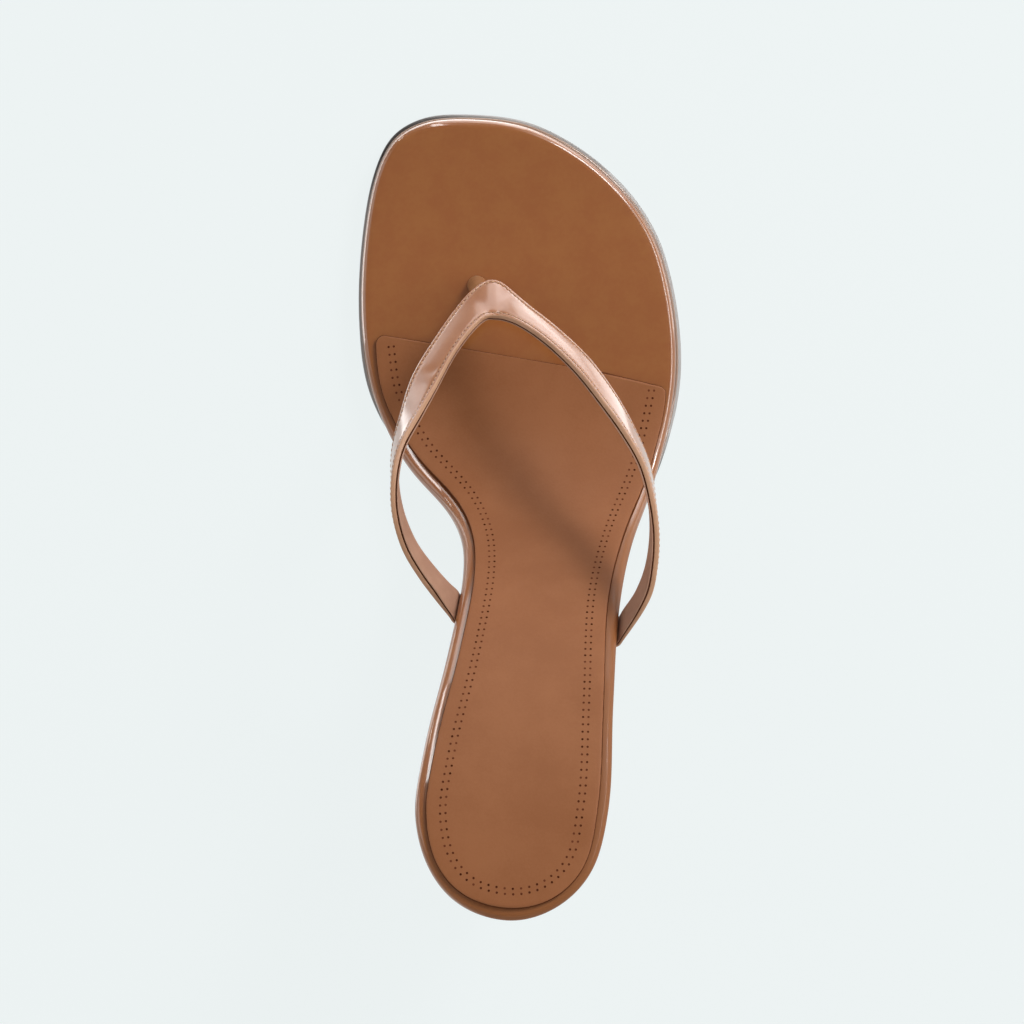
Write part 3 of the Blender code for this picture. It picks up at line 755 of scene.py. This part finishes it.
def pinhole_places(piece, high):
    """Places of the pinholes: rows inside the sock's edge, laid out flat and bent back."""
    loop, top = sock_rim(piece, high)
    points = [piece.data.vertices[index].co for index in top]
    profile = np.array(sorted({(round(point.y, 6), round(point.z, 6)) for point in points}))
    profile = profile[np.concatenate([[True], np.diff(profile[:, 0]) > SOCK_PROFILE_GAP])]
    station = along(profile)
    front = np.array(SOCK_FRONT_LATERAL - SOCK_FRONT_MEDIAL)
    ahead = np.array((-front[1], front[0])) / np.linalg.norm(front)
    past_front = (loop[:, :2] - np.array(SOCK_FRONT_MEDIAL)) @ ahead
    foremost = int(np.argmax(past_front))
    loop = np.roll(loop, -foremost, axis=0)
    past_front = np.roll(past_front, -foremost)
    loop = loop[past_front < -PINHOLE_CORNER]
    if loop[0][0] > loop[-1][0]:
        loop = loop[::-1]
    flat = np.stack([loop[:, 0], np.interp(loop[:, 1], profile[:, 0], station)], axis=1)
    start = flat[0] + PINHOLE_RUN_ON * unit(flat[0] - flat[1])
    end = flat[-1] + PINHOLE_RUN_ON * unit(flat[-1] - flat[-2])
    flat = spline(np.vstack([start, flat, end]), PINHOLE_CURVE_PIECES)
    run = unit(np.gradient(flat, axis=0))
    inward = np.stack([-run[:, 1], run[:, 0]], axis=1)
    places = []
    for inset in PINHOLE_ROWS:
        row = flat + inward * (inset - SOCK_RIM_INSET)
        distance = along(row)
        spots = sample(distance, row, np.arange(0.0, distance[-1], PINHOLE_PITCH))
        y = np.interp(spots[:, 1], station, profile[:, 0])
        z = np.interp(spots[:, 1], station, profile[:, 1])
        for spot in np.stack([spots[:, 0], y, z], axis=1):
            if (spot[:2] - np.array(SOCK_FRONT_MEDIAL)) @ ahead < -PINHOLE_FRONT_MARGIN:
                places.append(Vector(spot))
    return places


def build_dots(name, places, radius, material, slot):
    """Small holes, each a flat dark disc just over the leather: painted shade of the hole."""
    bpy.ops.mesh.primitive_circle_add(vertices=DOT_SIDES, radius=radius, fill_type="TRIFAN")
    piece = repeat(bpy.context.active_object, name, places)
    dress(piece, [material], slot)


def bow_front(piece):
    """Draws the middle of the sock's front edge a little towards the toe."""
    front = SOCK_FRONT_LATERAL - SOCK_FRONT_MEDIAL
    ahead = Vector((-front.y, front.x)).normalized()
    for vertex in piece.data.vertices:
        place = vertex.co.xy - SOCK_FRONT_MEDIAL
        share = min(1.0, max(0.0, place.dot(front) / front.length_squared))
        near = min(1.0, max(0.0, 1 + place.dot(ahead) / SOCK_BOW_REACH))
        vertex.co.y += SOCK_FRONT_BOW * near * (4 * share * (1 - share)) ** SOCK_BOW_POWER


def build_sock(material, edge, hole):
    """Sock settled on the footbed, with a dark cut edge that also paints the shade of the gap to the rim, and
    pinholes drawn as painted shade.
    """
    piece = copy_of("sock_pad", "sock")
    high = lifts(piece)
    places = pinhole_places(piece, high)
    ground = surface(frame["nodes"]["footbed"].data)
    for index in np.flatnonzero(high < SOCK_LOW_LIFT):
        vertex = piece.data.vertices[index]
        spot = ground.find_nearest(vertex.co)[0]
        vertex.co = vertex.co + (spot - vertex.co).normalized() * SOCK_SETTLE
    bow_front(piece)
    crease_sharp(piece, SOCK_SHARP_ANGLE)
    subdivide(piece, SOCK_LEVELS)
    high = lifts(piece)
    # Faces of the cut edge get a dark matt material: the edge's own colour, darkened as painted shade of the
    # gap under the sock
    cut = [high[list(polygon.vertices)].mean() < SOCK_EDGE_LIFT for polygon in piece.data.polygons]
    piece.data.polygons.foreach_set("material_index", np.array(cut, dtype=np.int32))
    dress(piece, [material, edge], "sock_pad", "sock_pad")
    face = surface(piece.data)
    found = [face.find_nearest(spot)[:2] for spot in places]
    laid = [turned((1, 0, 0), normal, spot + normal * DOT_HEIGHT) for spot, normal in found]
    build_dots("sock_pinholes", laid, PINHOLE_RADIUS, hole, "sock_pad")


def build_shoe():
    """All pieces of the shoe, with their materials."""
    tan = patent_leather("tan_patent", colour(159, 98, 50), colour(154, 91, 46)).material
    footbed_tan = footbed_patent(colour(159, 98, 50), colour(154, 91, 46))
    strap_tan = patent_leather("strap_patent", colour(168, 107, 66), colour(162, 100, 60), 0.19).material
    fold = plain_leather("strap_fold", colour(194, 148, 116), colour(184, 138, 106), 0.45)
    post = plain_leather("post_leather", colour(176, 124, 82), colour(162, 110, 70), 0.45)
    lining = plain_leather("strap_lining", colour(178, 136, 112), colour(168, 126, 103), 0.55)
    thread = plain_leather("thread", colour(194, 152, 118), colour(178, 134, 102), 0.6)
    wrap = wrap_patent(colour(150, 116, 92), colour(140, 106, 84))
    # The paler colour is the sole's painted sheen
    dark_sole = sole_rubber("dark_sole", colour(62, 55, 52), colour(168, 163, 160), 0.3)
    dark_tip = sole_rubber("dark_tip", colour(34, 31, 29), colour(38, 34, 32), 0.5)
    # Cut edge of the sock, darker and matt as painted shade of the gap to the rim
    cut_edge_and_gap_shade = plain_leather("sock_cut_edge_and_gap_shade", colour(104, 62, 41), colour(90, 52, 33), 0.8, 0.0)
    # Dark discs for pinholes and needle holes: painted shade of the holes
    hole = plain_leather("hole_shade", colour(112, 64, 43), colour(70, 36, 22), 0.8, 0.0, 420.0)
    # Painted shade for the strap's groove
    groove = plain_leather("groove_shade", colour(100, 60, 41), colour(82, 47, 31), 0.8, 0.0)
    needle = plain_leather("needle_shade", colour(126, 84, 62), colour(104, 68, 50), 0.8, 0.0)
    smooth_copy("footbed", "footbed_leather", footbed_tan)
    smooth_copy("midsole", "midsole_wrap", wrap)
    smooth_copy("outsole", "outsole_rubber", dark_sole)
    smooth_copy("heel", "heel_cover", tan)
    smooth_copy("heel_tip", "heel_top_piece", dark_tip)
    smooth_copy("toe_post", "toe_post_leather", post)
    build_sock(sock_leather(), cut_edge_and_gap_shade, hole)
    strap = strap_frames()
    build_strap(strap, [strap_tan, fold, lining, groove])
    build_stitches(strap, thread, needle)


def area_light(name, place, away, size, radiance, gloss_only):
    """Rectangle of light at a place, facing against the direction away."""
    bpy.ops.object.light_add(type="AREA")
    lamp = bpy.context.active_object
    lamp.name = name
    lamp.location = place
    lamp.rotation_euler = away.to_track_quat("Z", "Y").to_euler()
    lamp.data.shape = "RECTANGLE"
    lamp.data.size, lamp.data.size_y = size
    lamp.data.energy = radiance * math.pi * size[0] * size[1]
    lamp.visible_camera = False
    lamp.visible_diffuse = not gloss_only


def build_lights():
    """Soft boxes that face the shoe, and bright patches of the paper that face up."""
    for box in SOFT_BOXES:
        away = Vector(box.direction).normalized()
        area_light(box.name, away * box.distance, away, box.size, box.radiance, box.gloss_only)
    for patch in FLOOR_PATCHES:
        place = (*patch.place, FLOOR_PATCH_HEIGHT)
        area_light(patch.name, place, Vector((0, 0, -1)), patch.size, patch.radiance, True)


def build_floor():
    """Plain pale paper, kept evenly bright by a glow of its own."""
    bpy.ops.mesh.primitive_plane_add(size=FLOOR_SIZE)
    floor = bpy.context.active_object
    floor.name = "floor"
    finish = Finish(
        "floor_paper",
        Base_Color=FLOOR_TONE,
        Roughness=0.9,
        Specular_IOR_Level=0.0,
        Emission_Color=FLOOR_GLOW,
        Emission_Strength=1.0,
    )
    floor.data.materials.append(finish.material)


def build_world():
    """Room light that dims towards overhead; the camera itself sees paper instead."""
    world = bpy.data.worlds.new("studio")
    bpy.context.scene.world = world
    world.use_nodes = True
    nodes = world.node_tree.nodes
    links = world.node_tree.links
    room = nodes["Background"]
    direction = nodes.new("ShaderNodeTexCoord")
    split = nodes.new("ShaderNodeSeparateXYZ")
    fade = nodes.new("ShaderNodeMapRange")
    fade.inputs["From Max"].default_value = WORLD_HIGH_FROM
    fade.inputs["To Min"].default_value = WORLD_LOW
    fade.inputs["To Max"].default_value = WORLD_HIGH
    links.new(direction.outputs["Generated"], split.inputs[0])
    links.new(split.outputs["Z"], fade.inputs["Value"])
    links.new(fade.outputs[0], room.inputs["Strength"])
    room.inputs["Color"].default_value = (1.0, 1.0, 1.0, 1.0)
    paper = nodes.new("ShaderNodeBackground")
    paper.inputs["Color"].default_value = PAPER_BEHIND
    mixed = nodes.new("ShaderNodeMixShader")
    ray = nodes.new("ShaderNodeLightPath")
    links.new(ray.outputs["Is Camera Ray"], mixed.inputs[0])
    links.new(room.outputs[0], mixed.inputs[1])
    links.new(paper.outputs[0], mixed.inputs[2])
    links.new(mixed.outputs[0], nodes["World Output"].inputs[0])


def build_camera():
    """Camera straight above the shoe, which looks down."""
    camera = bpy.data.cameras.new("camera")
    camera.lens = CAMERA_LENS
    holder = bpy.data.objects.new("camera", camera)
    holder.location = CAMERA_PLACE
    bpy.context.scene.collection.objects.link(holder)
    bpy.context.scene.camera = holder
    bpy.context.scene.view_settings.view_transform = "Standard"


build_shoe()
build_floor()
build_world()
build_lights()
build_camera()
